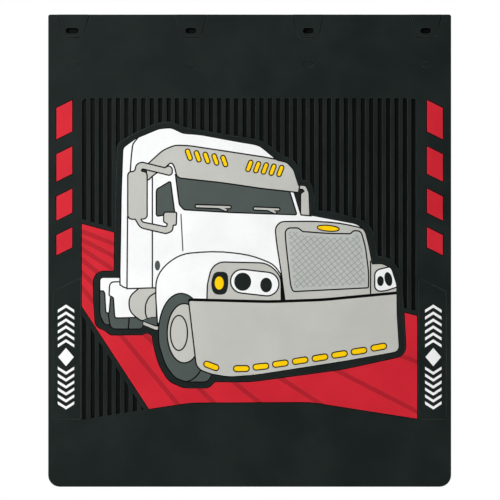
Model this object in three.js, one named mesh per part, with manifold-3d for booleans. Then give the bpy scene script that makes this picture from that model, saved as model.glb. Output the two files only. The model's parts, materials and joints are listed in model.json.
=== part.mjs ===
// A moulded rubber mud flap for a truck or trailer, 610 mm wide and 715 mm tall.
//
// One black rubber sheet hangs from four slots in its top strip. Each slot is moulded almost through, with a
// thin skin to punch out. The lower panel carries moulded ribs and shallow pockets, and each pocket holds a
// coloured rubber inlay: red side bars, a red road, a drawing of a bonneted truck in white, grey and amber,
// and a white chevron column on each side.
// The sheet swings by bending just below its clamped top, so it is made here as two solids with a round
// bend between them.
//
// Millimetres. X runs across the flap, Z is up, the decorated front looks towards -Y and the back lies at
// y = 0. The origin is on the back, in the middle of the row of slots.

import * as THREE from "three";
import { mergeVertices } from "three/addons/utils/BufferGeometryUtils.js";
import Module from "manifold-3d";

const wasm = await Module();
wasm.setup();

// ---- driving dimensions -------------------------------------------------------------------------------

const flapWidth = 610;
const flapHeight = 715;
const slotRowDepth = 24.5; // from the top edge down to the row of slots
const topCornerRadius = 3;
const bottomCornerRadius = 17.5;

// Heights above the back face.
const sheetThickness = 8;
const haloHeight = 8.8; // raised black border round the truck
const padHeight = 9; // raised pads round the slots
const pictureHeight = 9; // top of the truck's inlays
const inlayHeight = 8.3; // top of the road, the side bars and the chevrons
const lampHeight = 9.3; // the small lamps stand proud of the pieces round them
const pocketFloor = 6;
const motifFloor = 5; // of the pockets that hold the chevrons and the diamonds
const grooveFloor = 4.5; // between the ribs
const plaqueFloor = 7.5; // shallow panel behind each chevron column
const slotSkin = 1.2; // thin floor of a slot, punched out when the flap is fitted
const blindSlotFloor = 7.2; // second row of slots, only marked with a groove round each
const stripeFloor = 7.8; // sunken stripes in the road

const seat = 0.3; // clearance between an inlay and the floor of its pocket
const webWidth = 3; // the hidden strip that joins a row of lamps or chevrons
const webThickness = 0.8;
const cutBeyond = 2; // how far a cutter runs past the face it cuts

const slotSpacing = 177.8;
const slotLength = 16.5;
const slotWidth = 9;
const endSlotLength = 20; // the slot at the left end is longer, so that a bent bracket still lines up
const blindSlotDrop = 51; // from the slots down to the blind slots
const blindSlotLine = 1.4; // width of the groove round a blind slot
const padTopWidth = 46;
const padBottomWidth = 29;
const padLength = 34.5;

const bendLine = -76.5; // the height at which the sheet bends
const bendRadius = sheetThickness / 2;

const ribPitch = 12.78;
const ribWidth = 6.2;
const grooveCount = 40;
const firstGroove = -250.3;
const ribbedTop = -102;
const ribbedHalfWidth = 254.4;
const roadGap = 1.2; // between the road and the wall of its pocket
const roadBorder = 7; // plain strip between the road and the ends of the ribs
const ledge = 1; // between the raised border and the ends of the ribs

const lineWidth = 1.9; // dark line between two neighbouring inlays of the truck
const bumperShadow = 2.4; // the line along the top of the bumper is this much thicker
const lampLine = 1.6; // dark line round a lamp
const outlineGap = 1.5; // between an inlay and the raised border

const barOuter = 292.5;
const barInner = 268.5;
const barSlant = 12;
const barGap = 1.2; // between a bar and the wall of its pocket
const barTops = [-117, -187, -251, -309.5];
const barLengths = [47.5, 41.5, 36.5, 30.5];

const stripeOrigin = [-357, -263.5]; // the point that the road's stripes spread from
const stripeCount = 6;
const stripeWidth = 7;
const firstStripeAngle = 21.3;
const stripeAngleStep = 5.85;
const stripeReach = 760;

const motifCentre = [278, -494];
const chevronCount = 6;
const chevronPitch = 10.5;
const chevronHalfWidth = 12.5;
const chevronRise = 8;
const chevronThickness = 4.6;
const diamondHalfWidth = 12;
const diamondHalfHeight = 14;
const chevronStart = 19; // from the middle of the diamond to the ends of the first chevron
const motifGap = 0.8; // between a chevron or a diamond and the wall of its pocket

// ---- materials ----------------------------------------------------------------------------------------

function rubber(colour, roughness) {
  return new THREE.MeshStandardMaterial({ color: colour, roughness, metalness: 0 });
}

const black = rubber(0x26282a, 0.62);
const red = rubber(0xc8252f, 0.5);
const white = rubber(0xf1f2f2, 0.48);
const lightGrey = rubber(0xbcbeb8, 0.48);
const meshGrey = rubber(0xb0b4af, 0.5);
const darkGrey = rubber(0x4d5552, 0.5);
const amber = rubber(0xfdcf06, 0.42);

// ---- outlines -----------------------------------------------------------------------------------------
// An outline is a list of corners [x, z] or [x, z, radius]. A radius rounds the corner with an arc.

const arcTolerance = 0.16;
const shortestEdge = 0.05;

function arcSteps(radius, sweep) {
  const largestStep = 2 * Math.acos(1 - Math.min(arcTolerance / radius, 0.5));
  return Math.max(1, Math.ceil(sweep / largestStep));
}

function roundedCorner(before, corner, after, radius) {
  const toBefore = before.clone().sub(corner);
  const toAfter = after.clone().sub(corner);
  const room = 0.5 * Math.min(toBefore.length(), toAfter.length());
  toBefore.normalize();
  toAfter.normalize();
  const halfAngle = Math.acos(THREE.MathUtils.clamp(toBefore.dot(toAfter), -1, 1)) / 2;
  if (radius === 0 || Math.PI / 2 - halfAngle < 0.002) return [corner];
  const tangent = Math.min(radius / Math.tan(halfAngle), room);
  const arcRadius = tangent * Math.tan(halfAngle);
  const towardsCentre = toBefore.clone().add(toAfter).normalize();
  const centre = corner.clone().addScaledVector(towardsCentre, arcRadius / Math.sin(halfAngle));
  const first = corner.clone().addScaledVector(toBefore, tangent).sub(centre);
  const sweep = Math.PI - 2 * halfAngle;
  const turn = Math.sign(toAfter.cross(toBefore)) * sweep;
  const steps = arcSteps(arcRadius, sweep);
  return Array.from({ length: steps + 1 }, (_, i) => {
    return first.clone().rotateAround(new THREE.Vector2(), (turn * i) / steps).add(centre);
  });
}

function outline(corners) {
  const points = corners.map(([x, z]) => new THREE.Vector2(x, z));
  const rounded = corners.flatMap(([, , radius = 0], i) => {
    const before = points.at(i - 1);
    const after = points[(i + 1) % points.length];
    return roundedCorner(before, points[i], after, radius);
  });
  const distinct = rounded.filter((point, i) => point.distanceTo(rounded.at(i - 1)) > shortestEdge);
  return THREE.ShapeUtils.isClockWise(distinct) ? distinct.reverse() : distinct;
}

function ellipse(x, z, halfWidth, halfHeight, tilt = 0) {
  const turn = THREE.MathUtils.degToRad(tilt);
  const steps = Math.max(16, arcSteps(Math.max(halfWidth, halfHeight), 2 * Math.PI));
  const curve = new THREE.EllipseCurve(x, z, halfWidth, halfHeight, 0, 2 * Math.PI, false, turn);
  return curve.getPoints(steps).slice(0, -1);
}

// A rounded bar of the given length and width, centred on (x, z).
function capsule(x, z, length, width, tilt = 0) {
  const halfLength = length / 2;
  const halfWidth = width / 2;
  const corners = [[-1, -1], [1, -1], [1, 1], [-1, 1]];
  const points = outline(corners.map(([sx, sz]) => [sx * halfLength, sz * halfWidth, halfWidth]));
  const turn = THREE.MathUtils.degToRad(tilt);
  const centre = new THREE.Vector2(x, z);
  return points.map((point) => point.rotateAround(new THREE.Vector2(), turn).add(centre));
}

// Two round ends of the same radius joined by straight sides.
function roundEnded(ends, radius) {
  const [start, end] = ends.map(([x, z]) => new THREE.Vector2(x, z));
  const along = end.clone().sub(start);
  const middle = start.clone().add(end).multiplyScalar(0.5);
  const tilt = THREE.MathUtils.radToDeg(along.angle());
  return capsule(middle.x, middle.y, along.length() + 2 * radius, 2 * radius, tilt);
}

// The same outline with every edge moved outwards (or inwards, for a negative distance).
function grown(points, distance) {
  return points.map((point, i) => {
    const before = points.at(i - 1);
    const after = points[(i + 1) % points.length];
    const arriving = point.clone().sub(before).normalize();
    const leaving = after.clone().sub(point).normalize();
    const outwards = new THREE.Vector2(arriving.y + leaving.y, -arriving.x - leaving.x).normalize();
    const mitre = Math.max(0.5, outwards.x * arriving.y - outwards.y * arriving.x);
    return point.clone().addScaledVector(outwards, distance / mitre);
  });
}

function mirrored(points) {
  return points.map((point) => new THREE.Vector2(-point.x, point.y)).reverse();
}

// ---- solids -------------------------------------------------------------------------------------------

function solidOf(geometry) {
  geometry.deleteAttribute("normal");
  geometry.deleteAttribute("uv");
  const merged = mergeVertices(geometry, 1e-4);
  const mesh = new wasm.Mesh({
    numProp: 3,
    vertProperties: new Float32Array(merged.attributes.position.array),
    triVerts: new Uint32Array(merged.index.array),
  });
  return new wasm.Manifold(mesh);
}

// An outline pushed out from one height above the back face to another.
function prism(points, from, to) {
  const shape = new THREE.Shape(points);
  const geometry = new THREE.ExtrudeGeometry(shape, { depth: to - from, bevelEnabled: false });
  geometry.rotateX(Math.PI / 2);
  geometry.translate(0, -from, 0);
  return solidOf(geometry);
}

function together(solids) {
  return solids.reduce((all, solid) => all.add(solid));
}

function without(solid, cutters) {
  return cutters.reduce((rest, cutter) => rest.subtract(cutter), solid);
}

// The largest separate body of a solid; crossing outlines can leave crumbs beside it.
function mainBody(solid) {
  return solid.decompose().sort((a, b) => b.volume() - a.volume())[0];
}

const group = new THREE.Group();

function addPart(name, solid, material) {
  const { vertProperties, triVerts } = solid.getMesh();
  const geometry = new THREE.BufferGeometry();
  geometry.setAttribute("position", new THREE.BufferAttribute(vertProperties, 3));
  geometry.setIndex(new THREE.BufferAttribute(triVerts, 1));
  const flatFaced = geometry.toNonIndexed();
  flatFaced.computeVertexNormals();
  const mesh = new THREE.Mesh(flatFaced, material);
  mesh.name = name;
  group.add(mesh);
}

// ---- outlines of the truck ----------------------------------------------------------------------------

const silhouette = outline([
  [-195.5, -374.3], [-193.3, -241, 900], [-191, -177.5, 9], [-172, -163.8, 15], [-137, -149.2, 25],
  [-119, -147.6, 16], [-101, -156.2, 20], [-75, -158.2, 60], [-13, -169.6, 200], [14, -174, 30],
  [41.5, -197, 12], [56, -200, 12], [66, -211, 14], [73.5, -235, 1], [84.5, -235, 5], [89, -245.5, 8],
  [90.3, -279.6, 0.5], [163, -293.2, 40], [174.3, -303.5, 18], [179.8, -326, 60], [185, -353.8, 1],
  [200, -353.3, 15], [214, -359.5, 10], [221.8, -384, 20], [222.5, -428, 200], [226, -485, 9],
  [145, -499.5, 300], [10, -520.5, 200], [-30, -523.5, 60], [-57, -519.3, 1.5], [-64, -531, 9],
  [-96, -531, 20], [-113, -524.5, 20], [-127, -505.5, 50], [-136.8, -474, 60], [-137.5, -452.5, 0.5],
  [-143, -452.5, 3], [-160.8, -445, 1], [-164, -450.8, 4], [-207, -450.8, 9], [-212, -444.2, 0.5],
  [-219, -444.2, 8], [-226, -430, 25], [-225.8, -374.3, 4],
]);

const haloOutline = outline([
  [-204.3, -364.8, 0.5], [-203, -240, 900], [-200, -170.5, 14], [-179, -158.5, 20], [-145, -142, 30],
  [-121, -137.5, 25], [-97, -147.5, 30], [-45, -156.5, 200], [18, -166.5, 40], [50, -190, 12],
  [64, -194, 14], [77, -212, 16], [79, -227, 3], [89, -227.5, 10], [96.5, -240, 14], [97.3, -273.7, 1],
  [125, -274.5, 60], [172, -288, 30], [186, -301, 25], [193, -342, 3], [209, -343, 18], [226, -361, 25],
  [232, -407, 60], [233, -428, 100], [236.5, -491, 16], [140, -512, 300], [0, -531, 200],
  [-53, -530.5, 3], [-62, -540, 12], [-100, -540, 25], [-122, -530, 25], [-137, -505, 60], [-143.8, -480, 60],
  [-147, -461, 1], [-156.5, -456, 2], [-163, -459.5, 4], [-210, -460, 8], [-219, -453, 4],
  [-233, -447, 22], [-235.8, -400, 100], [-235.5, -364.8, 15],
]);

const headlightLenses = [
  ellipse(-10.5, -380, 12.4, 13.3),
  ellipse(25, -385, 8.5, 10.7),
  ellipse(198, -379, 4.6, 7.2),
  ellipse(210, -376, 5.3, 10.3, 12),
];

const turnSignalBezel = outline([
  [-58.5, -384, 25], [-53.5, -365.5, 8], [-34, -365.5, 7], [-32.3, -383, 40], [-36, -399, 8], [-54, -399, 9],
]);
const turnSignal = ellipse(-46, -382, 7, 10.1);
const grilleBadge = ellipse(119, -299.1, 15.8, 3.6, -5);

// A row is a list of outlines with the middle of each one, where a hidden web will join them.
function lampRow(first, step, tilt) {
  const middles = Array.from({ length: 5 }, (_, i) => [first[0] + i * step[0], first[1] + i * step[1]]);
  return { middles, shapes: middles.map(([x, z]) => capsule(x, z, 16.4, 5.2, 90 + tilt)) };
}
const visorLampsLeft = lampRow([-92, -187.8], [13.4, -2.4], 20);
const visorLampsRight = lampRow([-0.3, -204.8], [11.7, -1.9], -21);

const bumperLampPlaces = [
  [-58, -507.5, -21], [-12.5, -511.5, 1], [17, -508.5, 6], [46.5, -504, 8], [76.5, -499.5, 9],
  [106.5, -495, 9], [136, -490, 9], [165.5, -485, 9], [195.5, -479, 11],
];
const bumperLamps = {
  middles: bumperLampPlaces,
  shapes: bumperLampPlaces.map(([x, z, tilt]) => capsule(x, z, 22.3, 7.4, tilt)),
};
const lampRows = [
  ["visor_lamps_left", visorLampsLeft],
  ["visor_lamps_right", visorLampsRight],
  ["bumper_lamps", bumperLamps],
];

const leftMirror = outline([
  [-183.5, -214.5, 5], [-173, -214, 5], [-171, -203, 7], [-163, -200, 5], [-128, -208.5, 3],
  [-122, -205, 4], [-118, -209, 4], [-118, -219, 5], [-163, -208, 3], [-165.5, -213.5, 2],
  [-156, -214.5, 7], [-156, -284, 9], [-166, -284.3, 1.5], [-163, -290.5, 6], [-125, -298.2, 3],
  [-123.5, -291.5, 2], [-129.2, -289, 2], [-129.2, -275.5, 3], [-111.3, -275.8, 1], [-112, -293.5, 1],
  [-116.5, -293.5, 1], [-117.5, -303, 6], [-127, -306.3, 4], [-165, -297.5, 12], [-172.5, -284.5, 2],
  [-183.5, -284.5, 6],
]);

// The inlays of the truck, from the front of the picture to the back. Each one is cut back by a dark
// line's width from everything before it in the list. A piece in black rubber belongs to the flap itself.
const picture = [
  ...lampRows.flatMap(([, row]) => row.shapes).map((lamp) => ({ hole: true, points: lamp, line: lampLine })),
  ...headlightLenses.map((lens) => ({ material: black, points: lens, line: 0.4 })),
  { name: "turn_signal", material: amber, points: turnSignal, line: 0.5 },
  { material: black, points: turnSignalBezel, line: 0.5 },
  { name: "grille_badge", material: amber, points: grilleBadge, line: lampLine },
  { name: "headlight_bezel_left", material: white, points: roundEnded([[-11, -379.3], [26.3, -383.6]], 17) },
  {
    name: "headlight_bezel_right", material: white,
    points: outline([
      [190.2, -363.5, 9], [216, -357.5, 5], [223.5, -387, 3], [206, -392.8, 30], [190.2, -394, 10],
    ]),
  },
  {
    name: "bumper", material: lightGrey, lift: bumperShadow,
    points: outline([
      [-91.5, -409.3, 2], [-83, -480, 120], [-79.5, -511, 16], [-40, -525.5, 120], [20, -521, 200],
      [150, -500.5, 100], [228, -487, 9], [223.5, -428, 100], [223, -399, 1], [110, -409.6, 500],
      [30, -412.4, 500],
    ]),
  },
  {
    name: "headlight_housing_left", material: lightGrey,
    points: outline([[-63.8, -411], [-63, -384, 40], [-55, -350.8, 24], [27, -352.6, 30], [46.7, -372, 25],
      [46.9, -411]]),
  },
  {
    name: "headlight_housing_right", material: lightGrey,
    points: outline([[184, -350], [184, -403], [226, -398], [226, -350]]),
  },
  {
    name: "grille_mesh", material: meshGrey,
    points: outline([
      [54.5, -299.5, 7], [55.8, -322, 200], [63, -385, 20], [66, -394, 4], [179, -388.3, 1.2],
      [179.2, -366, 100], [174.4, -328, 60], [167.8, -303.8, 14], [157.5, -303.8, 3], [153, -308.3, 3],
      [120, -308, 200], [80, -305, 4], [73, -299.5, 5],
    ]),
  },
  {
    name: "grille_frame", material: lightGrey,
    points: outline([
      [54.7, -412], [49.7, -372, 200], [41.7, -321, 200], [38.7, -290, 13], [100, -289.4, 400],
      [135, -292, 200], [166, -298.6, 60], [185, -306], [200, -330], [200, -351], [185.2, -351],
      [185.2, -408],
    ]),
  },
  { name: "wheel_hub", material: lightGrey, points: ellipse(-107, -457.5, 12, 25.6) },
  { name: "wheel_rim", material: lightGrey, points: ellipse(-99, -458, 24.8, 44) },
  { name: "tyre_face", material: darkGrey, points: ellipse(-101, -464.5, 36, 66, 3.5) },
  {
    name: "tyre_tread", material: darkGrey,
    points: outline([[-95, -535], [-60, -535], [-54, -516], [-72, -500], [-100, -515]]),
  },
  {
    name: "front_fender", material: white,
    points: outline([
      [-138.6, -442], [-141.2, -402, 100], [-140.8, -376, 40], [-129, -357, 60], [-104, -338.8, 80],
      [-48, -334.2, 250], [4, -341.2, 140], [36, -354.7, 30], [46, -369, 4], [46, -411], [-90, -411],
      [-100, -442],
    ]),
  },
  { name: "mirror_left", material: lightGrey, points: leftMirror },
  { material: black, points: outline([[-168, -204], [-157, -206], [-157.3, -216], [-168, -216]]) },
  {
    name: "visor_end", material: lightGrey,
    points: outline([[-158, -206], [-140, -209], [-141, -214.5], [-147.8, -219.5], [-154.4, -226, 1],
      [-156, -218]]),
  },
  {
    name: "sun_visor", material: lightGrey,
    points: outline([
      [-153.5, -206], [-153.5, -202.5], [-131, -182, 30], [-113, -174.3, 25], [-92, -175, 60],
      [-30, -184.3, 200], [25, -192.7, 200], [45, -196.8], [60, -190], [76, -225], [73.2, -244, 1],
      [20, -238.2, 300], [-40, -229.4, 300], [-109, -221.8, 7], [-112.7, -206, 30], [-116.6, -199.8, 3],
      [-121, -199.8, 3], [-129.5, -207.5],
    ]),
  },
  {
    name: "mirror_right", material: lightGrey,
    points: outline([
      [73.6, -233], [92, -233], [92, -279.3], [78, -278, 1.5], [78, -247.2, 3], [83.6, -243.4, 1],
      [80.6, -239.3, 2], [73.6, -238.9],
    ]),
  },
  {
    name: "door_window", material: darkGrey,
    points: outline([
      [-120.5, -229, 1], [-139.4, -240.3, 4], [-140.3, -244, 4], [-140.3, -280.2, 2], [-127, -277.5],
      [-114, -277.5],
    ]),
  },
  {
    name: "wiper_left", material: lightGrey,
    points: outline([
      [-81.5, -264.2, 1.2], [-29, -265.7, 1.2], [-29, -268.5, 1.2], [-38, -268.7], [-33.5, -271.6, 1],
      [-36, -273, 1], [-47, -268.4], [-81.5, -267.2, 1.2],
    ]),
  },
  {
    name: "wiper_right", material: lightGrey,
    points: outline([
      [6.5, -267.7, 1.2], [45, -269.2, 1.2], [45, -272, 1.2], [36, -272], [41, -275, 1], [38.5, -276.5, 1],
      [27, -271.4], [6.5, -270.7, 1.2],
    ]),
  },
  {
    name: "windshield", material: darkGrey,
    points: outline([
      [-111.2, -219], [-105.6, -263, 8], [-99, -270.2, 5], [-27, -274.4, 400], [70.3, -277.8, 1],
      [58.5, -240], [-27, -226],
    ]),
  },
  { name: "door_handle", material: darkGrey, points: ellipse(-139.5, -355.5, 3.4, 6.9), line: 0.5 },
  { hole: true, points: capsule(-102.5, -305.5, 57, 1.5, 93), line: 0 },
  {
    name: "step_shadow", material: darkGrey,
    points: outline([
      [-159.8, -437.8, 1], [-147, -433.9, 8], [-140.6, -434.6, 1], [-140.2, -446], [-144.6, -445.2],
      [-159.8, -439.6],
    ]),
    line: 0.9,
  },
  {
    name: "cab_step", material: lightGrey,
    points: outline([[-161, -440.5], [-144, -447.2, 10], [-137.6, -448.3], [-136, -456], [-160.5, -456]]),
    line: 0.9,
  },
  {
    name: "cab_and_hood", material: white,
    points: outline([
      [-146.3, -216], [-146.3, -388.4], [-130, -388.4], [-112, -362], [60, -380], [60, -350],
      [167.5, -330], [167.5, -270], [92, -280.3], [77, -279.8, 1], [66.5, -245], [66.5, -236],
      [-100, -214], [-108, -196], [-126, -196], [-130, -216],
    ]),
  },
  {
    name: "sleeper_strip", material: white,
    points: outline([
      [-158, -216], [-147.8, -218], [-147.8, -296], [-168, -292], [-168, -280], [-158, -280],
    ]),
  },
  {
    name: "sleeper_side", material: white,
    points: outline([[-183.8, -282], [-184.7, -389.6], [-147.8, -388.4], [-147.8, -290], [-170, -282]]),
  },
  { material: black, points: outline([[67, -244.6], [76, -240.5], [81.5, -243], [77, -246], [77, -278.4]]) },
  {
    name: "roof_fairing", material: white,
    points: outline([
      [-176, -172, 12], [-178, -190, 30], [-180, -217], [-170, -217], [-150, -208], [-128, -200], [-90, -190],
      [20, -200], [47, -203], [52, -180], [20, -150], [-110, -130], [-165, -158.5, 20],
    ]),
  },
  {
    name: "sleeper_edge", material: white,
    points: outline([
      [-195.3, -384.3], [-184.7, -390.6, 3], [-183.5, -282], [-183.2, -222], [-179.5, -214], [-170, -150],
      [-210, -150], [-210, -370], [-195.3, -370],
    ]),
  },
  {
    name: "fuel_tank_front", material: lightGrey,
    points: outline([
      [-142, -397.5], [-151, -403, 12], [-156.8, -414, 20], [-156.8, -428, 20], [-154.5, -434.6],
      [-142, -434.6],
    ]),
  },
  {
    name: "fuel_tank_rear", material: lightGrey,
    points: outline([
      [-142, -390.3], [-167, -390.5, 4], [-181.5, -403, 18], [-181.5, -425, 20], [-163, -439, 8],
      [-150, -434], [-142, -434],
    ]),
  },
  {
    name: "rear_fender_inner", material: white,
    points: outline([
      [-211.8, -400.5, 2], [-210.8, -381.2, 6], [-190, -381], [-185, -385], [-164, -385],
      [-164, -433], [-203.2, -434, 2.5], [-205.3, -403, 5],
    ]),
  },
  {
    name: "rear_fender_outer", material: white,
    points: outline([
      [-228, -393], [-228, -370], [-190, -370], [-190, -386], [-208, -386], [-211.5, -404],
      [-213.4, -427.2, 1.5], [-216.8, -425.5, 1.5], [-218.4, -397, 6], [-221, -393, 2],
    ]),
  },
  {
    name: "rear_tread", material: darkGrey,
    points: outline([[-180.8, -430], [-160, -430], [-160, -455], [-183, -455]]),
  },
  {
    name: "rear_tyre_inner", material: darkGrey,
    points: outline([
      [-211.8, -396], [-213, -432, 60], [-210, -446, 3], [-206, -455], [-178, -455], [-178, -396],
    ]),
  },
  {
    name: "rear_tyre_outer", material: darkGrey,
    points: outline([[-228, -390], [-228, -450], [-209, -450], [-209, -390]]),
  },
];

// ---- the rubber sheet ---------------------------------------------------------------------------------

const halfWidth = flapWidth / 2;
const flapTop = slotRowDepth;
const flapBottom = slotRowDepth - flapHeight;
const slotCentres = [-1.5, -0.5, 0.5, 1.5].map((place) => place * slotSpacing);

function headerStrip() {
  const lowerEnd = bendLine + bendRadius + seat;
  const sheet = prism(outline([
    [-halfWidth, lowerEnd], [halfWidth, lowerEnd], [halfWidth, flapTop, topCornerRadius],
    [-halfWidth, flapTop, topCornerRadius],
  ]), 0, sheetThickness);
  const pads = slotCentres.map((x) => prism(outline([
    [x - padTopWidth / 2, flapTop], [x - padBottomWidth / 2, flapTop - padLength, 4],
    [x + padBottomWidth / 2, flapTop - padLength, 4], [x + padTopWidth / 2, flapTop],
  ]), sheetThickness / 2, padHeight));
  const slots = slotCentres.map((x, i) => {
    const length = i === 0 ? endSlotLength : slotLength;
    const centre = i === 0 ? x - (endSlotLength - slotLength) / 2 : x;
    return prism(capsule(centre, 0, length, slotWidth), slotSkin, padHeight + cutBeyond);
  });
  const blindSlots = slotCentres.map((x) => {
    const outer = prism(capsule(x, -blindSlotDrop, slotLength, slotWidth), blindSlotFloor, padHeight);
    const innerLength = slotLength - 2 * blindSlotLine;
    const innerWidth = slotWidth - 2 * blindSlotLine;
    return outer.subtract(prism(capsule(x, -blindSlotDrop, innerLength, innerWidth), 0, padHeight));
  });
  return without(together([sheet, ...pads]), [...slots, ...blindSlots]);
}

// The panel's slab, with a half-round upper end whose centre is the bend line.
function panelSlab() {
  const section = new THREE.Shape();
  section.moveTo(flapBottom, 0);
  section.lineTo(bendLine, 0);
  section.absarc(bendLine, bendRadius, bendRadius, -Math.PI / 2, Math.PI / 2, false);
  section.lineTo(flapBottom, sheetThickness);
  section.closePath();
  const options = { depth: flapWidth, bevelEnabled: false, curveSegments: 9 };
  const across = new THREE.ExtrudeGeometry(section, options);
  const zAlongX = new THREE.Matrix4().makeBasis(
    new THREE.Vector3(0, 0, 1), new THREE.Vector3(0, -1, 0), new THREE.Vector3(1, 0, 0));
  across.applyMatrix4(zAlongX);
  across.translate(-halfWidth, 0, 0);
  const face = prism(outline([
    [-halfWidth, flapBottom, bottomCornerRadius], [halfWidth, flapBottom, bottomCornerRadius],
    [halfWidth, flapTop], [-halfWidth, flapTop],
  ]), -cutBeyond, sheetThickness + cutBeyond);
  return solidOf(across).intersect(face);
}

const lowerEdge = [
  [-254.4, -589.3], [-152.5, -572.5, 60], [-89, -563, 120], [91.5, -562, 160], [254.4, -587.8],
];

const roadOutline = outline([
  [-254, -292.5], [-204, -306], [232, -426.3], [253.5, -432], [253.5, -587.3], [91.5, -562, 160],
  [-89, -563, 120], [-152.5, -572.5], [-254, -417],
]);

function ribGrooves() {
  const field = prism(outline([
    [-ribbedHalfWidth, ribbedTop, 9], [ribbedHalfWidth, ribbedTop, 9], ...lowerEdge.toReversed(),
  ]), grooveFloor, sheetThickness + cutBeyond);
  const halfGroove = (ribPitch - ribWidth) / 2;
  const grooves = Array.from({ length: grooveCount }, (_, i) => {
    const x = firstGroove + i * ribPitch;
    return prism(outline([
      [x - halfGroove, flapBottom], [x + halfGroove, flapBottom], [x + halfGroove, 0], [x - halfGroove, 0],
    ]), grooveFloor - cutBeyond, sheetThickness + 2 * cutBeyond);
  });
  const kept = [grown(haloOutline, ledge), grown(roadOutline, roadBorder)];
  const covers = kept.map((points) => prism(points, 0, pictureHeight + cutBeyond));
  return without(together(grooves).intersect(field), covers);
}

function pocket(points, floor, clearance) {
  return prism(grown(points, clearance), floor, pictureHeight + cutBeyond);
}

// ---- inlays beside the truck --------------------------------------------------------------------------

function roadSolid(points, from, to, border) {
  const halo = prism(grown(haloOutline, border), from - cutBeyond, to + cutBeyond);
  return prism(points, from, to).subtract(halo);
}

function stripes() {
  return Array.from({ length: stripeCount }, (_, i) => {
    const angle = -(firstStripeAngle + i * stripeAngleStep);
    const along = THREE.MathUtils.degToRad(angle);
    const x = stripeOrigin[0] + (Math.cos(along) * stripeReach) / 2;
    const z = stripeOrigin[1] + (Math.sin(along) * stripeReach) / 2;
    return prism(capsule(x, z, stripeReach, stripeWidth, angle), stripeFloor, inlayHeight + cutBeyond);
  });
}

function sideBar(row, side) {
  const top = barTops[row];
  const bottom = top - barLengths[row];
  const points = outline([
    [-barOuter, top], [-barOuter, bottom], [-barInner, bottom + barSlant], [-barInner, top + barSlant],
  ]);
  return side < 0 ? points : mirrored(points);
}

function plaque(side) {
  const points = outline([[-297.5, -395, 2], [-256, -374.5, 1], [-256, -588, 1], [-297.5, -588, 3]]);
  return side < 0 ? points : mirrored(points);
}

function chevron(x, tip, direction) {
  const base = tip - direction * chevronRise;
  const thick = direction * chevronThickness;
  return outline([
    [x - chevronHalfWidth, base], [x, tip], [x + chevronHalfWidth, base],
    [x + chevronHalfWidth, base - thick], [x, tip - thick], [x - chevronHalfWidth, base - thick],
  ]);
}

// Chevrons above (direction 1) or below (direction -1) the diamond, all pointing away from it.
function chevronRow(side, direction) {
  const x = side * motifCentre[0];
  const tips = Array.from({ length: chevronCount }, (_, i) => {
    return motifCentre[1] + direction * (chevronStart + chevronRise + i * chevronPitch);
  });
  return {
    middles: tips.map((tip) => [x, tip - (direction * chevronThickness) / 2]),
    shapes: tips.map((tip) => chevron(x, tip, direction)),
  };
}

function diamond(side) {
  const x = side * motifCentre[0];
  const z = motifCentre[1];
  return outline([
    [x - diamondHalfWidth, z], [x, z - diamondHalfHeight],
    [x + diamondHalfWidth, z], [x, z + diamondHalfHeight],
  ]);
}

// A row of small inlays is joined by one thin web, which runs through a tunnel in what lies between them.
function webOutline({ middles }, widening = 0) {
  const halfWidth = webWidth / 2 + widening;
  const line = middles.map(([x, z]) => new THREE.Vector2(x, z));
  const direction = line.at(-1).clone().sub(line[0]).normalize();
  const sideways = new THREE.Vector2(-direction.y, direction.x).multiplyScalar(halfWidth);
  const oneSide = line.map((point) => point.clone().add(sideways));
  const otherSide = line.map((point) => point.clone().sub(sideways));
  return outline([...otherSide, ...oneSide.reverse()].map((point) => point.toArray()));
}

function joinedRow(row, floor, top) {
  const pieces = row.shapes.map((points) => prism(points, floor + seat, top));
  const web = prism(webOutline(row), floor + seat, floor + seat + webThickness);
  return together([...pieces, web]);
}

function tunnel(row, floor) {
  return prism(webOutline(row, seat), floor, floor + webThickness + 2 * seat);
}

// ---- putting it together ------------------------------------------------------------------------------

const sides = [[-1, "left"], [1, "right"]];
const inlayFloor = pocketFloor + seat;

const silhouettePrism = prism(silhouette, 0, lampHeight + cutBeyond);
const islands = [];
const inFront = lampRows.map(([, row]) => tunnel(row, pocketFloor));

for (const { name, material, points, line = lineWidth, lift = 0, hole = false } of picture) {
  if (!hole) {
    const top = material === black ? haloHeight : pictureHeight;
    const from = material === black ? pocketFloor - cutBeyond / 2 : inlayFloor;
    const blank = prism(points, from, top).intersect(silhouettePrism);
    const inlay = mainBody(without(blank, inFront));
    if (material === black) islands.push(inlay);
    else addPart(name, inlay, material);
  }
  const cover = prism(grown(points, line), 0, lampHeight + cutBeyond);
  inFront.push(cover);
  if (lift > 0) inFront.push(cover.translate([0, 0, lift]));
}

for (const [name, row] of lampRows) addPart(name, joinedRow(row, pocketFloor, lampHeight), amber);

const road = roadSolid(roadOutline, inlayFloor, inlayHeight, outlineGap);
addPart("road", mainBody(without(road, stripes())), red);

const sidePockets = [];
for (const [side, sideName] of sides) {
  barTops.forEach((_, row) => {
    const points = sideBar(row, side);
    addPart(`side_bar_${sideName}_${row + 1}`, prism(points, inlayFloor, inlayHeight), red);
    sidePockets.push(pocket(points, pocketFloor, barGap));
  });
  const upper = chevronRow(side, 1);
  const lower = chevronRow(side, -1);
  addPart(`chevrons_${sideName}_upper`, joinedRow(upper, motifFloor, inlayHeight), white);
  addPart(`chevrons_${sideName}_lower`, joinedRow(lower, motifFloor, inlayHeight), white);
  addPart(`diamond_${sideName}`, prism(diamond(side), motifFloor + seat, inlayHeight), white);
  const motif = [diamond(side), ...upper.shapes, ...lower.shapes];
  sidePockets.push(pocket(plaque(side), plaqueFloor, 0));
  sidePockets.push(tunnel(upper, motifFloor), tunnel(lower, motifFloor));
  sidePockets.push(...motif.map((points) => pocket(points, motifFloor, motifGap)));
}

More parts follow.
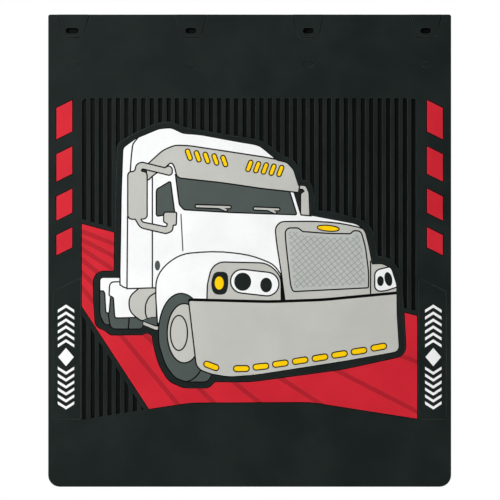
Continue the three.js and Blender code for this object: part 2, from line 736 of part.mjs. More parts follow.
const roadPocket = roadSolid(grown(roadOutline, roadGap), pocketFloor, pictureHeight, 0);
const truckPocket = pocket(silhouette, pocketFloor, outlineGap);
const halo = prism(haloOutline, pocketFloor, haloHeight);
const panel = without(together([panelSlab(), halo]), [
  ribGrooves(), roadPocket, truckPocket, ...sidePockets,
]);

addPart("header_strip", headerStrip(), black);
addPart("flap_panel", together([panel, ...islands]), black);

export default group;
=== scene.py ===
"""The look of the moulded rubber mud flap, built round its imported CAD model.

Metres, in the frame of the CAD model: X across, Z up, the decorated front towards -Y, the back at y = 0.
Every piece is made from the solid that it replaces: its edges are rounded, and the relief that is too fine
for the CAD model is added.
"""

import json
import math

import bmesh
import bpy
import numpy as np
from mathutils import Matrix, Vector
from mathutils.geometry import delaunay_2d_cdt


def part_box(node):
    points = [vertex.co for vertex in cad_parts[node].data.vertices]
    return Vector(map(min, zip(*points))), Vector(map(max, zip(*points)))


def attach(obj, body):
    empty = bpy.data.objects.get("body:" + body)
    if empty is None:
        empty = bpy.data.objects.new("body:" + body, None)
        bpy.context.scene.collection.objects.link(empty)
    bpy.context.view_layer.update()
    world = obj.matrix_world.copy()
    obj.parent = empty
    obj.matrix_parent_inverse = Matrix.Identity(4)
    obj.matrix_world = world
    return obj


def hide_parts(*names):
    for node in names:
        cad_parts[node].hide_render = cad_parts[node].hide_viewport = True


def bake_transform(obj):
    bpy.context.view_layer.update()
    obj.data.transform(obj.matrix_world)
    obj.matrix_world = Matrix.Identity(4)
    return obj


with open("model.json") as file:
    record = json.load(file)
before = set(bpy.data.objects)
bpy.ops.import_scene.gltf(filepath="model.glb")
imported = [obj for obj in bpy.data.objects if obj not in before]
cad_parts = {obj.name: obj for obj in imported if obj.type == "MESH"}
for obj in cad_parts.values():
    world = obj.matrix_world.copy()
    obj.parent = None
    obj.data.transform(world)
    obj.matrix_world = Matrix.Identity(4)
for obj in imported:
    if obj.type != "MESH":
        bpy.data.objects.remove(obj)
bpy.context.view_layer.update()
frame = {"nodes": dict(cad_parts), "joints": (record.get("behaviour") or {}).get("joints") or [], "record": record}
MM = 0.001

# ---- driving dimensions -------------------------------------------------------------------------------

BEND_LINE = frame["joints"][0]["pos_m"][2]
BEND_REACH = 18 * MM          # the sheet bends from this far above the bend line to this far below it
BEND_ROWS = 12

SHEET = 8 * MM                # heights above the back face
PICTURE = 9 * MM

BLACK_RIM = 0.6 * MM          # radius of the rounded edges
INLAY_RIM = 0.5 * MM
BACK_RIM = 0.5 * MM
SMALLEST_RIM = 0.08 * MM      # an edge with less room than this stays sharp
CREASE = math.radians(38)     # edges sharper than this are shaded as creases

LATTICE_PITCH = 6.97 * MM     # diagonal grooves of the grille
LATTICE_TURN = math.radians(39.7)
LATTICE_ORIGIN = (73.4 * MM, -313.4 * MM)
LATTICE_GROOVE = 0.9 * MM
LATTICE_DEPTH = 0.45 * MM
LATTICE_MARGIN = 4.2 * MM     # of plain rubber round the lattice
LATTICE_STEPS = np.arange(-200, 200, 0.5) * MM   # the places that are tried along each groove
LATTICE_ROWS = range(-25, 26)

SLOT_PITCH = 177.8 * MM       # 7 in
PAD_PLACES = [place * SLOT_PITCH for place in (-1.5, -0.5, 0.5, 1.5)]
PAD_TOP = 46 * MM             # widths of the raised pads round the slots
PAD_BOTTOM = 29 * MM
PAD_RANGE = (22 * MM, -10 * MM)   # from a little below the top edge down to the pads' lower edge
PAD_GROOVE = 1.2 * MM         # width of the crease that runs round a pad
PAD_CREASE = 0.8 * MM         # and its depth
PAD_CORNER = 3 * MM           # how much is cut off the crease's lower corners

PIN_MARK = 5.5 * MM           # radius of the round marks that the mould leaves on the back
PIN_DEPTH = 0.35 * MM
PIN_COLUMNS = [x * MM for x in (-235, -80, 80, 235)]
PIN_ROWS = [z * MM for z in (-150, -315, -480, -645)]
PIN_SIDES = 28
WEAVE = 1.7 * MM              # pitch of the cloth pattern that the press leaves on the back

# How the meshes are worked. None of these is a size of the real flap.
FLAT = 0.99                   # least cosine between a face's normal and straight ahead in a flat region
HAIR = 0.01 * MM              # a height or distance below this counts as none
WELD = 0.002 * MM             # verts nearer than this become one
SEAM = 0.02 * MM              # open edges nearer than this are stitched together
SAME_PLACE = 1e-5             # in millimetres, for the triangulation
SHORT_TAPER = 2.5 * MM        # length in which a rounding runs out beside a corner that stays sharp
ROOM_SHARE = 0.45             # share of a wall's height, or of the free width, that a radius may take
NEARLY_STRAIGHT = 0.05        # sine of the turn below which a corner isn't mitred
MITRE = 2.2                   # largest shift of a corner, in radii
AHEAD = 0.6                   # least cosine of the angle at which something lies ahead of a corner
CLASH_REACH = 3               # corners nearer than this to a clash, in radii, get a smaller radius
ATTEMPTS = 4                  # at shrinking a rounding that runs into itself, and at closing seams

# ---- meshes -------------------------------------------------------------------------------------------


def solid(*nodes):
    """The CAD solids as one bmesh."""
    bm = bmesh.new()
    for node in nodes:
        bm.from_mesh(frame["nodes"][node].data)
    bmesh.ops.remove_doubles(bm, verts=bm.verts, dist=WELD)
    for item in [*bm.faces, *bm.edges]:
        item.smooth = True
    return bm


FRONT = -1                    # the sign of Y on each side
BACK = 1
# A quarter round in four places, as (distance from the wall, depth below the face) in radii.
QUARTER = [(1 - math.cos(a), 1 - math.sin(a)) for a in (0, math.pi / 6, math.pi / 3, math.pi / 2)]


def flat_regions(bm, facing):
    """The groups of connected faces that look to the front or to the back."""
    bm.normal_update()
    left = {face for face in bm.faces if face.normal.y * facing > FLAT}
    regions = []
    while left:
        stack = [left.pop()]
        region = set(stack)
        while stack:
            for edge in stack.pop().edges:
                for face in edge.link_faces:
                    if face in left:
                        left.remove(face)
                        region.add(face)
                        stack.append(face)
        regions.append(region)
    return regions


def boundary_rings(region):
    """The rings of bmesh loops that run round a region, with its faces on their left."""
    def outer(loop):
        return not any(face in region for face in loop.edge.link_faces if face is not loop.face)

    waiting = {loop for face in region for loop in face.loops if outer(loop)}
    rings = []
    while waiting:
        ring = []
        loop = next(iter(waiting))
        while loop in waiting:
            waiting.remove(loop)
            ring.append(loop)
            loop = loop.link_loop_next
            while not outer(loop):
                loop = loop.link_loop_radial_next.link_loop_next
        rings.append(ring)
    return rings


def wall_drop(loop, region, facing):
    """How far the wall beyond a boundary edge drops: negative where it rises, None where there is no wall."""
    walls = [face for face in loop.edge.link_faces if face not in region]
    if not walls:
        return None
    depths = [(vert.co.y - loop.vert.co.y) * -facing for vert in walls[0].verts]
    return max(depths) if max(depths) > HAIR else min(depths)


class Corner:
    """A corner of a region's boundary. Drops before and after it say what its two edges border on."""

    def __init__(self, before, here, region, facing):
        self.vert = here.vert
        self.place = here.vert.co.copy()
        self.facing = facing
        self.drops = [wall_drop(before, region, facing), wall_drop(here, region, facing)]
        flat = [(-facing * v.co.x, v.co.z) for v in (before.vert, here.vert, here.link_loop_next.vert)]
        arriving = (Vector(flat[1]) - Vector(flat[0])).normalized()
        leaving = (Vector(flat[2]) - Vector(flat[1])).normalized()
        self.inwards = [Vector((-arriving.y, arriving.x)), Vector((-leaving.y, leaving.x))]

    def is_rim(self, side):
        return self.drops[side] is not None and self.drops[side] > 0

    def is_foot(self, side):
        return self.drops[side] is not None and self.drops[side] < 0

    def limit(self):
        """The largest radius that this corner can take."""
        if self.is_foot(0) or self.is_foot(1):
            return 0
        return min([ROOM_SHARE * d for d in self.drops if d is not None and d > 0], default=0)

    def moved(self, inset, depth):
        """The corner with its rim edges moved into the region, and dropped."""
        a, b = self.inwards
        reach = [inset if self.is_rim(side) else 0 for side in (0, 1)]
        det = a.x * b.y - a.y * b.x
        if abs(det) < NEARLY_STRAIGHT:
            shift = (a + b).normalized() * max(reach)
        else:
            shift = Vector((reach[0] * b.y - reach[1] * a.y, reach[1] * a.x - reach[0] * b.x)) / det
            if shift.length > MITRE * inset:
                shift = shift.normalized() * MITRE * inset
        x, y, z = self.place
        return Vector((x - self.facing * shift.x, y - self.facing * depth, z + shift.y))


def corner_rings(region, facing):
    return [
        [Corner(ring[i - 1], ring[i], region, facing) for i in range(len(ring))]
        for ring in boundary_rings(region)
    ]


def free_width(rings):
    """For each corner, how far the region reaches inwards before it meets another stretch of its boundary."""
    def flat(corner):
        return (-corner.facing * corner.vert.co.x, corner.vert.co.z)

    corners = [corner for ring in rings for corner in ring]
    starts = np.array([flat(corner) for corner in corners])
    ends = np.array([flat(ring[(i + 1) % len(ring)]) for ring in rings for i in range(len(ring))])
    inwards = np.array([tuple((c.inwards[0] + c.inwards[1]).normalized()) for c in corners])
    along = ends - starts
    lengths = np.maximum((along ** 2).sum(axis=1), 1e-16)
    widths = []
    for place, direction in zip(starts, inwards):
        t = np.clip(((place - starts) * along).sum(axis=1) / lengths, 0, 1)
        away = starts + along * t[:, None] - place
        distance = np.hypot(away[:, 0], away[:, 1])
        ahead = (away @ direction > AHEAD * distance) & (distance > HAIR)
        widths.append(distance[ahead].min(initial=1.0))
    return dict(zip(corners, widths))


def shorten_tapers(regions, facing):
    """Splits long rim edges near a corner that can't be rounded, so that the rounding runs out quickly."""
    splits = []
    for region in regions:
        for ring in boundary_rings(region):
            corners = [Corner(ring[i - 1], ring[i], region, facing) for i in range(len(ring))]
            for i, corner in enumerate(corners):
                if corner.limit() > 0:
                    continue
                if corner.is_rim(0):
                    splits.append((ring[i - 1].edge, corner.vert))
                if corner.is_rim(1):
                    splits.append((ring[i].edge, corner.vert))
    for edge, vert in splits:
        if edge.is_valid and vert in edge.verts and edge.calc_length() > 2 * SHORT_TAPER:
            bmesh.utils.edge_split(edge, vert, SHORT_TAPER / edge.calc_length())


def inside(rings, points):
    """Which points lie inside closed rings of points, by the even-odd rule."""
    x, y = points[:, 0], points[:, 1]
    result = np.zeros(len(points), bool)
    for ring in rings:
        for (x0, y0), (x1, y1) in zip(ring, np.roll(ring, -1, axis=0)):
            if y0 == y1:
                continue
            crosses = (y0 > y) != (y1 > y)
            result ^= crosses & (x < (x1 - x0) * (y - y0) / (y1 - y0) + x0)
    return result


def fill(bm, rings, facing, lines=()):
    """Covers the space between rings of verts with triangles. Extra lines become edges of the cover."""
    verts = [vert for ring in rings for vert in ring]
    level = verts[0].co.y
    flat = [Vector((-facing * vert.co.x, vert.co.z)) / MM for vert in verts]
    edges = []
    outlines = []
    start = 0
    for ring in rings:
        count = len(ring)
        edges += [(start + i, start + (i + 1) % count) for i in range(count)]
        outlines.append(np.array([tuple(p) for p in flat[start:start + count]]))
        start += count
    for ends in lines:
        edges.append((len(flat), len(flat) + 1))
        flat += [Vector(end) / MM for end in ends]
    out, _, triangles, origins, _, _ = delaunay_2d_cdt(flat, edges, [], 1, SAME_PLACE)
    made = []
    for place, origin in zip(out, origins):
        known = [i for i in origin if i < len(verts)]
        if known:
            made.append(verts[known[0]])
        else:
            made.append(bm.verts.new((-facing * place.x * MM, level, place.y * MM)))
    places = np.array([tuple(p) for p in out])
    middles = places[np.array(triangles)].mean(axis=1)
    faces = []
    for triangle, wanted in zip(triangles, inside(outlines, middles)):
        corners = [made[i] for i in triangle]
        if wanted and len(set(corners)) == 3 and not bm.faces.get(corners):
            face = bm.faces.new(corners)
            face.smooth = False
            faces.append(face)
    return faces


def crossings(rings, limits):
    """The flat places where the inner edges of the rounding would run into each other."""
    flat = []
    edges = []
    for ring in rings:
        start = len(flat)
        for i, corner in enumerate(ring):
            inner = corner.moved(limits[corner.vert], 0)
            flat.append(Vector((inner.x, inner.z)) / MM)
            edges.append((start + i, start + (i + 1) % len(ring)))
    out, _, _, origins, _, _ = delaunay_2d_cdt(flat, edges, [], 0, SAME_PLACE)
    return [place * MM for place, origin in zip(out, origins) if len(origin) != 1]


def rounding_limits(outlines, radius):
    """The radius that each corner can take without meeting anything else."""
    limits = {}
    for rings in outlines:
        for corner, width in free_width(rings).items():
            limits[corner.vert] = min(limits.get(corner.vert, radius), corner.limit(), ROOM_SHARE * width)
    for rings in outlines:
        for _ in range(ATTEMPTS):
            clashes = crossings(rings, limits)
            for corner in (corner for ring in rings for corner in ring):
                here = Vector((corner.place.x, corner.place.z))
                if any((here - clash).length < CLASH_REACH * radius for clash in clashes):
                    limits[corner.vert] *= 0.5
                if limits[corner.vert] < SMALLEST_RIM:
                    limits[corner.vert] = 0
    return limits


def round_rims(bm, radius, facing=FRONT):
    """Rounds the edges where a flat region meets a wall that drops away from it."""
    regions = flat_regions(bm, facing)
    shorten_tapers(regions, facing)
    outlines = [corner_rings(region, facing) for region in regions]
    limits = rounding_limits(outlines, radius)
    for region, rings in zip(regions, outlines):
        bmesh.ops.delete(bm, geom=list(region), context="FACES_KEEP_BOUNDARY")
        tops = []
        for ring in rings:
            stacks = []
            for corner in ring:
                reach = limits[corner.vert]
                corner.vert.co = corner.place
                if reach == 0:
                    stacks.append([corner.vert] * len(QUARTER))
                    continue
                levels = [corner.moved(reach * inset, reach * depth) for inset, depth in QUARTER]
                stacks.append([corner.vert, *(bm.verts.new(level) for level in levels[1:])])
                corner.vert.co = levels[0]
            for i, corner in enumerate(ring):
                if corner.is_rim(1):
                    cover_strip(bm, stacks[i], stacks[(i + 1) % len(ring)])
            tops.append([stack[-1] for stack in stacks])
        fill(bm, tops, facing)
    bmesh.ops.remove_doubles(bm, verts=bm.verts, dist=WELD)
    bmesh.ops.delete(bm, geom=[edge for edge in bm.edges if edge.is_wire], context="EDGES")
    bmesh.ops.delete(bm, geom=[vert for vert in bm.verts if not vert.link_edges], context="VERTS")


def cover_strip(bm, stack, following):
    """The faces of one edge's rounding, between the stacks of verts at its two ends."""
    for low in range(len(stack) - 1):
        ring = [stack[low], following[low], following[low + 1], stack[low + 1]]
        corners = list(dict.fromkeys(ring))
        if len(corners) > 2:
            bm.faces.new(corners).smooth = True


def press(bm, facing, depth, shapes):
    """Sinks shapes, which are rings of flat points, into the largest flat region that faces one way."""
    region = max(flat_regions(bm, facing), key=lambda faces: sum(face.calc_area() for face in faces))
    rings = [[loop.vert for loop in ring] for ring in boundary_rings(region)]
    bmesh.ops.delete(bm, geom=list(region), context="FACES_KEEP_BOUNDARY")
    lines = [(a, b) for shape in shapes for a, b in zip(shape, np.roll(shape, -1, axis=0))]
    cover = fill(bm, rings, facing, lines)
    middles = np.array([(-facing * m.x, m.z) for m in (face.calc_center_median() for face in cover)])
    pressed = np.zeros(len(cover), bool)
    for shape in shapes:
        pressed |= inside([shape], middles)
    sunk = [face for face, wanted in zip(cover, pressed) if wanted]
    lowered = bmesh.ops.extrude_face_region(bm, geom=sunk)["geom"]
    bmesh.ops.delete(bm, geom=sunk, context="FACES")
    verts = [item for item in lowered if isinstance(item, bmesh.types.BMVert)]
    bmesh.ops.translate(bm, verts=verts, vec=(0, -facing * depth, 0))


def open_edges(bm):
    return [edge for edge in bm.edges if edge.is_boundary]


def stitch(bm):
    """Closes the seams where a long open edge meets several short ones."""
    for _ in range(ATTEMPTS):
        edges = open_edges(bm)
        verts = {vert for edge in edges for vert in edge.verts}
        for edge in edges:
            start, end = edge.verts
            along = end.co - start.co
            for vert in verts - {start, end}:
                t = (vert.co - start.co).dot(along) / along.length_squared
                if 0 < t < 1 and (start.co + along * t - vert.co).length < SEAM:
                    bmesh.utils.edge_split(edge, start, t)[1].co = vert.co
                    break
        verts = list({vert for edge in open_edges(bm) for vert in edge.verts})
        bmesh.ops.remove_doubles(bm, verts=verts, dist=SEAM)
    bmesh.ops.holes_fill(bm, edges=open_edges(bm), sides=8)
    for _ in range(ATTEMPTS):
        bmesh.ops.reverse_faces(bm, faces=[face for face in bm.faces if looks_wrong_way(face)])


def looks_wrong_way(face):
    """Whether most of a face's neighbours are turned the other way."""
    return 2 * sum(not edge.is_contiguous for edge in face.edges) > len(face.edges)


def piece(name, bm, slot, body, *nodes):
    """Turns a bmesh into a piece that stands for the given CAD nodes."""
    stitch(bm)
    for edge in bm.edges:
        edge.smooth = edge.smooth and edge.is_manifold and edge.calc_face_angle(math.pi) < CREASE
    mesh = bpy.data.meshes.new(name)
    bm.to_mesh(mesh)
    bm.free()
    rest = mesh.attributes.new("rest", "FLOAT_VECTOR", "POINT")
    co = np.zeros(len(mesh.vertices) * 3, np.float32)
    mesh.vertices.foreach_get("co", co)
    rest.data.foreach_set("vector", co)
    # Painted shade: the black sheet is darkened only in the recesses of its front, an inlay all the way down its
    # walls.
    deepened = [slot != "black_rubber" or face.normal.y < -0.5 for face in mesh.polygons]
    mesh.attributes.new("deepened", "FLOAT", "FACE").data.foreach_set("value", deepened)
    mesh.materials.append(materials[slot])
    obj = bpy.data.objects.new(name, mesh)
    bpy.context.scene.collection.objects.link(obj)
    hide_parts(*nodes)
    if body:
        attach(obj, body)
    return obj


# ---- materials ----------------------------------------------------------------------------------------


def linear(srgb):
    return [c / 12.92 if c <= 0.04045 else ((c + 0.055) / 1.055) ** 2.4 for c in (v / 255 for v in srgb)]


class Nodes:
    """A short way to wire shader nodes."""

    def __init__(self, name):
        self.material = bpy.data.materials.new(name)
        self.material.use_nodes = True
        self.tree = self.material.node_tree
        self.tree.nodes.clear()

    def add(self, kind, inputs=None, **settings):
        node = self.tree.nodes.new(kind)
        for key, value in settings.items():
            setattr(node, key, value)
        for key, value in (inputs or {}).items():
            self.feed(node.inputs[key], value)
        return node

    def feed(self, socket, value):
        if isinstance(value, bpy.types.NodeSocket):
            self.tree.links.new(value, socket)
        elif isinstance(value, (list, tuple)) and len(value) == 3 and socket.type == "RGBA":
            socket.default_value = (*value, 1)
        else:
            socket.default_value = value

    def math(self, operation, a, b=0.0):
        return self.add("ShaderNodeMath", {0: a, 1: b}, operation=operation).outputs[0]

    def mix(self, factor, a, b):
        node = self.add("ShaderNodeMix", data_type="RGBA")
        self.feed(node.inputs[0], factor)
        self.feed(node.inputs[6], a)
        self.feed(node.inputs[7], b)
        return node.outputs[2]

    def ramp(self, value, low, high, to_low=0.0, to_high=1.0):
        node = self.add(
            "ShaderNodeMapRange",
            {"Value": value, "From Min": low, "From Max": high, "To Min": to_low, "To Max": to_high},
            interpolation_type="SMOOTHSTEP",
        )
        return node.outputs[0]

    def noise(self, position, scale, detail=3.0, roughness=0.55):
        inputs = {"Vector": position, "Scale": scale, "Detail": detail, "Roughness": roughness}
        return self.add("ShaderNodeTexNoise", inputs).outputs[0]


def rubber(name, colour, shade_colour, roughness, shade_heights, mottling=0.03, bump=0.5, wear_and_highlight=0.25):
    """Moulded rubber: cloudy colour, a fine grain, pale edges that are partly scuffed wear and partly a painted
    highlight, and painted shade in the corners and gaps.

    What lies low is darkened with painted shade, set as (height of full darkness, height of none, strength), with
    heights in millimetres above the back face.
    """
    n = Nodes(name)
    rest = n.add("ShaderNodeAttribute", attribute_name="rest").outputs["Vector"]
    across, depth, up = n.add("ShaderNodeSeparateXYZ", {0: rest}).outputs
    height = n.math("MULTIPLY", depth, -1.0)
    clouds = n.noise(rest, 14, 4)
    patches = n.noise(rest, 75, 3)
    specks = n.noise(rest, 620, 2, 0.6)
    grain = n.noise(rest, 1500, 2, 0.6)
    pores = n.add("ShaderNodeTexVoronoi", {"Vector": rest, "Scale": 900.0}, feature="F1").outputs[0]

    base = linear(colour)
    pale = [min(1, c * (1 + mottling) + 0.03 * mottling) for c in base]
    deep = [c * (1 - mottling) for c in base]
    speck = [c * 0.82 for c in base]
    tone = n.mix(n.ramp(clouds, 0.36, 0.64), deep, pale)
    tone = n.mix(n.ramp(patches, 0.35, 0.7, 0, 0.35), tone, base)
    tone = n.mix(n.ramp(specks, 0.58, 0.74, 0, 0.4), tone, speck)
    low, high, strength = shade_heights
    deepened = n.add("ShaderNodeAttribute", attribute_name="deepened").outputs["Fac"]
    # Painted shade: faces that lie low are darkened towards the shade colour.
    painted_low_shade = n.math("MULTIPLY", n.ramp(height, low * MM, high * MM, strength, 0.0), deepened)
    tone = n.mix(painted_low_shade, tone, linear(shade_colour))

    rounded = n.add("ShaderNodeBevel", {"Radius": 0.9 * MM}, samples=4).outputs[0]
    flat = n.add("ShaderNodeNewGeometry").outputs["Normal"]
    agreement = n.add("ShaderNodeVectorMath", {0: rounded, 1: flat}, operation="DOT_PRODUCT").outputs["Value"]
    edge = n.ramp(agreement, 0.995, 0.9, 0.0, 1.0)
    occlusion = n.add("ShaderNodeAmbientOcclusion", {"Distance": 5 * MM}, samples=8).outputs["AO"]
    # Pale edges: partly scuffed wear, partly a painted highlight on the rounded edges.
    open_edge = n.math("MULTIPLY", edge, n.ramp(occlusion, 0.5, 0.85))
    scuff_and_highlight = n.math("MULTIPLY", open_edge, n.ramp(patches, 0.3, 0.62, 0.35, 1.0))
    scuff_and_highlight_colour = [c + (1 - c) * 0.22 + 0.012 for c in base]
    tone = n.mix(n.math("MULTIPLY", scuff_and_highlight, wear_and_highlight), tone, scuff_and_highlight_colour)
    # Painted shade: creases and gaps are darkened by ambient occlusion towards the shade colour.
    tone = n.mix(n.ramp(occlusion, 0.88, 0.35, 0.0, 0.92), tone, linear(shade_colour))

    shine = n.ramp(clouds, 0.3, 0.7, roughness - 0.06, roughness + 0.07)
    shine = n.math("ADD", shine, n.math("MULTIPLY", scuff_and_highlight, 0.12))
    skin = n.math("ADD", n.math("MULTIPLY", grain, 0.6), n.math("MULTIPLY", pores, 0.4))
    threads = [n.math("SINE", n.math("MULTIPLY", axis, 2 * math.pi / WEAVE)) for axis in (across, up)]
    weave = n.math("MULTIPLY", threads[0], threads[1])
    on_back = n.ramp(height, 0.3 * MM, 0.6 * MM, 1.0, 0.0)
    skin = n.math("ADD", skin, n.math("MULTIPLY", weave, on_back))
    bumped = n.add("ShaderNodeBump", {"Strength": bump, "Distance": 0.06 * MM, "Height": skin}).outputs[0]
    ripple = n.add(
        "ShaderNodeBump", {"Strength": 0.35, "Distance": 0.5 * MM, "Height": patches, "Normal": bumped}
    ).outputs[0]
    shader = n.add("ShaderNodeBsdfPrincipled", {"Base Color": tone, "Roughness": shine, "Normal": ripple})
    shader.inputs["Specular IOR Level"].default_value = 0.09
    n.add("ShaderNodeOutputMaterial", {"Surface": shader.outputs[0]})
    return n.material


DEEP_SHADE = (1, 2, 2)               # colours of the painted shade in recesses, creases and gaps
SHADE = (26, 30, 29)
# Each rubber's second colour is the painted shade of its recesses, creases and gaps.
materials = {
    "black_rubber": rubber(
        "black_rubber", (20, 29, 27), DEEP_SHADE, 0.62, (7.1, 7.49, 0.97), mottling=0.1, bump=0.8, wear_and_highlight=0.35),
    "red_rubber": rubber("red_rubber", (204, 33, 48), (116, 12, 24), 0.5, (7.95, 8.2, 0.4), mottling=0.05),
    "white_rubber": rubber("white_rubber", (244, 245, 245), SHADE, 0.5, (7.0, 7.9, 0.9)),
    "light_grey_rubber": rubber("light_grey_rubber", (192, 192, 186), SHADE, 0.5, (7.6, 8.4, 0.9)),
    "mesh_grey_rubber": rubber("mesh_grey_rubber", (187, 191, 186), (120, 124, 120), 0.52, (8.58, 8.8, 0.5)),
    "dark_grey_rubber": rubber("dark_grey_rubber", (76, 85, 82), DEEP_SHADE, 0.5, (7.6, 8.4, 0.9)),
    "amber_rubber": rubber("amber_rubber", (255, 206, 0), (120, 74, 0), 0.4, (8.0, 8.8, 0.8)),
}

# ---- the black sheet ----------------------------------------------------------------------------------


def keep_above(bm, z):
    cut(bm, Vector((0, 0, z)), Vector((0, 0, -1)))


def keep_below(bm, z):
    cut(bm, Vector((0, 0, z)), Vector((0, 0, 1)))


def cut(bm, point, normal):
    """Removes what lies on the side that the normal points to, and leaves a plain open edge."""
    geom = [*bm.verts, *bm.edges, *bm.faces]
    bmesh.ops.bisect_plane(bm, geom=geom, plane_co=point, plane_no=normal, clear_outer=True, dist=1e-6)
    bmesh.ops.dissolve_verts(bm, verts=[vert for vert in bm.verts if lies_along_open_edge(vert)])


def lies_along_open_edge(vert):
    rim = [edge.other_vert(vert).co - vert.co for edge in vert.link_edges if edge.is_boundary]
    return len(rim) == 2 and rim[0].angle(rim[1]) > math.radians(179.9)


def bending_band(bm, top, bottom, half_width):
    """The plain strip that bends: a tube with rounded front and back edges, in narrow rows."""
    profile = []
    back = (BACK_RIM, 0)
    front = (BLACK_RIM, -SHEET)
    for side, (rim, level) in ((1, back), (1, front), (-1, front), (-1, back)):
        inwards = 1 if level == 0 else -1
        quarter = [(side * (half_width - rim * i), level - inwards * rim * d) for i, d in QUARTER]
        profile += quarter if (side > 0) == (level != 0) else quarter[::-1]
    rings = []
    for row in range(BEND_ROWS + 1):
        z = top + (bottom - top) * row / BEND_ROWS
        rings.append([bm.verts.new((x, y, z)) for x, y in profile])
    for upper, lower in zip(rings, rings[1:]):
        for i in range(len(profile)):
            j = (i + 1) % len(profile)
            bm.faces.new((upper[i], upper[j], lower[j], lower[i])).smooth = True
        for i, (above, below) in enumerate(zip(upper, lower)):
            # The ends of each rounding are creases, so that the wide faces keep their own shading.
            bm.edges.get((above, below)).smooth = i % len(QUARTER) not in (0, len(QUARTER) - 1)


def pad_creases():
    """Outlines a little larger than the pads: only the crease round a pad lies in the face of the sheet."""
    top, bottom = PAD_RANGE
    upper = PAD_TOP / 2 + PAD_GROOVE
    lower = PAD_BOTTOM / 2 + PAD_GROOVE
    low = bottom - PAD_GROOVE
    return [
        np.array([
            (x - upper, top), (x - lower, low + PAD_CORNER), (x - lower + PAD_CORNER, low),
            (x + lower - PAD_CORNER, low), (x + lower, low + PAD_CORNER), (x + upper, top),
        ])
        for x in PAD_PLACES
    ]


def pin_marks():
    """Shallow round marks on the back of the panel."""
    turns = [2 * math.pi * i / PIN_SIDES for i in range(PIN_SIDES)]
    circle = np.array([(math.cos(a), math.sin(a)) for a in turns]) * PIN_MARK
    return [circle + (x, z) for x in PIN_COLUMNS for z in PIN_ROWS]


def flap_body():
    """The top strip and the panel as one sheet, with a plain band between them where it bends."""
    top = BEND_LINE + BEND_REACH
    bottom = BEND_LINE - BEND_REACH
    half_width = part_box("header_strip")[1][0]
    whole = bmesh.new()
    for node, keep, z in (("header_strip", keep_above, top), ("flap_panel", keep_below, bottom)):
        part = solid(node)
        keep(part, z)
        round_rims(part, BLACK_RIM)
        round_rims(part, BACK_RIM, BACK)
        if node == "flap_panel":
            press(part, BACK, PIN_DEPTH, pin_marks())
        else:
            press(part, FRONT, PAD_CREASE, pad_creases())
        mesh = bpy.data.meshes.new("part")
        part.to_mesh(mesh)
        part.free()
        whole.from_mesh(mesh)
        bpy.data.meshes.remove(mesh)
    bending_band(whole, top, bottom, half_width)
    bmesh.ops.remove_doubles(whole, verts=whole.verts, dist=WELD)
    obj = piece("flap_body", whole, "black_rubber", None, "header_strip", "flap_panel")
    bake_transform(obj)


flap_body()

# ---- the inlays ---------------------------------------------------------------------------------------


def nearest(ring, points):
    """How far each point lies from a closed ring of points."""
    along = np.roll(ring, -1, axis=0) - ring
    offset = points[:, None, :] - ring
    t = np.clip((offset * along).sum(axis=2) / (along ** 2).sum(axis=1), 0, 1)
    return np.linalg.norm(offset - along * t[:, :, None], axis=2).min(axis=1)


def lattice(ring):
    """Diagonal grooves, as rectangles, wherever they fit inside an outline with a plain margin."""
    grooves = []
    for turn in (LATTICE_TURN, LATTICE_TURN + math.pi / 2):
        along = np.array((math.cos(turn), math.sin(turn)))
        sideways = np.array((-along[1], along[0]))
        for row in LATTICE_ROWS:
            line = LATTICE_ORIGIN + sideways * LATTICE_PITCH * row + LATTICE_STEPS[:, None] * along
            fits = inside([ring], line) & (nearest(ring, line) > LATTICE_MARGIN)
            ends = np.flatnonzero(np.diff(fits.astype(int)))
            for first, last in ends.reshape(-1, 2):
                edge = sideways * LATTICE_GROOVE / 2
                corners = [line[first] - edge, line[last] - edge, line[last] + edge, line[first] + edge]
                grooves.append(np.array(corners))
    return [groove for groove in grooves if np.linalg.norm(groove[1] - groove[0]) > LATTICE_PITCH / 2]


def grille_outline(bm):
    """The outline of the grille's front, as flat points."""
    region = max(flat_regions(bm, FRONT), key=len)
    return np.array([(loop.vert.co.x, loop.vert.co.z) for loop in boundary_rings(region)[0]])


slots = {part["node"]: part["material_slot"] for part in frame["record"]["subparts"]}
for node in frame["nodes"]:
    if node in ("header_strip", "flap_panel"):
        continue
    shape = solid(node)
    round_rims(shape, INLAY_RIM)
    if node == "grille_mesh":
        press(shape, FRONT, LATTICE_DEPTH, lattice(grille_outline(shape)))
    piece(node + "_inlay", shape, slots[node], "panel", node)

# ---- floor, light and camera --------------------------------------------------------------------------

FLOOR = -0.80
VIEW_WIDTH = 0.7566           # what the camera sees across at the front of the flap
LENS = 135
AIM = Vector((0.0005, -PICTURE, -0.332))


def floor():
    mesh = bpy.data.meshes.new("floor")
    corners = [(-1.3, -1.4, FLOOR), (1.3, -1.4, FLOOR), (1.3, 0.5, FLOOR), (-1.3, 0.5, FLOOR)]
    mesh.from_pydata(corners, [], [(0, 1, 2, 3)])
    n = Nodes("floor_paint")
    shader = n.add("ShaderNodeBsdfPrincipled", {"Base Color": (0.9, 0.9, 0.89), "Roughness": 0.8})
    n.add("ShaderNodeOutputMaterial", {"Surface": shader.outputs[0]})
    mesh.materials.append(n.material)
    obj = bpy.data.objects.new("floor", mesh)
    bpy.context.scene.collection.objects.link(obj)


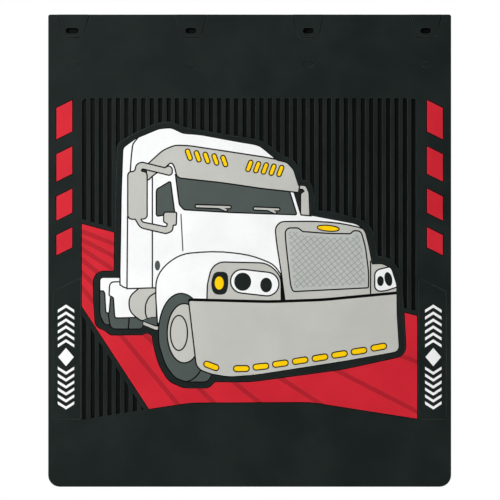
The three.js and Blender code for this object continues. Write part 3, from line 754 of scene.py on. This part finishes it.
def area_light(name, place, aim, size, power):
    data = bpy.data.lights.new(name, "AREA")
    data.shape = "SQUARE"
    data.size = size
    data.energy = power
    light = bpy.data.objects.new(name, data)
    light.location = place
    light.rotation_mode = "QUATERNION"
    light.rotation_quaternion = (Vector(aim) - Vector(place)).to_track_quat("-Z", "Y")
    bpy.context.scene.collection.objects.link(light)


def sky():
    """White behind the object, and a dimmer soft light from all round."""
    world = bpy.data.worlds.new("studio")
    bpy.context.scene.world = world
    world.use_nodes = True
    tree = world.node_tree
    tree.nodes.clear()
    seen = tree.nodes.new("ShaderNodeBackground")
    seen.inputs["Color"].default_value = (1, 1, 1, 1)
    soft = tree.nodes.new("ShaderNodeBackground")
    soft.inputs["Color"].default_value = (0.97, 0.985, 1, 1)
    soft.inputs["Strength"].default_value = 0.26
    path = tree.nodes.new("ShaderNodeLightPath")
    mixed = tree.nodes.new("ShaderNodeMixShader")
    tree.links.new(path.outputs["Is Camera Ray"], mixed.inputs[0])
    tree.links.new(soft.outputs[0], mixed.inputs[1])
    tree.links.new(seen.outputs[0], mixed.inputs[2])
    output = tree.nodes.new("ShaderNodeOutputWorld")
    tree.links.new(mixed.outputs[0], output.inputs[0])


def camera():
    data = bpy.data.cameras.new("camera")
    data.lens = LENS
    data.sensor_width = 36
    distance = VIEW_WIDTH * LENS / data.sensor_width
    obj = bpy.data.objects.new("camera", data)
    obj.location = AIM + Vector((0, -distance, 0))
    obj.rotation_euler = (math.pi / 2, 0, 0)
    data.clip_start = 0.05
    data.clip_end = 50
    bpy.context.scene.collection.objects.link(obj)
    bpy.context.scene.camera = obj


floor()
sky()
camera()
centre = (0, 0, -0.33)
area_light("key", (-1.15, -1.7, 0.45), centre, 1.2, 33)
area_light("glare", (-1.3, -2.5, -0.9), (-0.3, 0, -0.5), 0.9, 9)
area_light("fill", (1.8, -2.4, 0.4), centre, 1.6, 3)
area_light("back", (0.6, 2.4, 1.0), centre, 1.6, 110)
bpy.context.scene.view_settings.view_transform = "Standard"
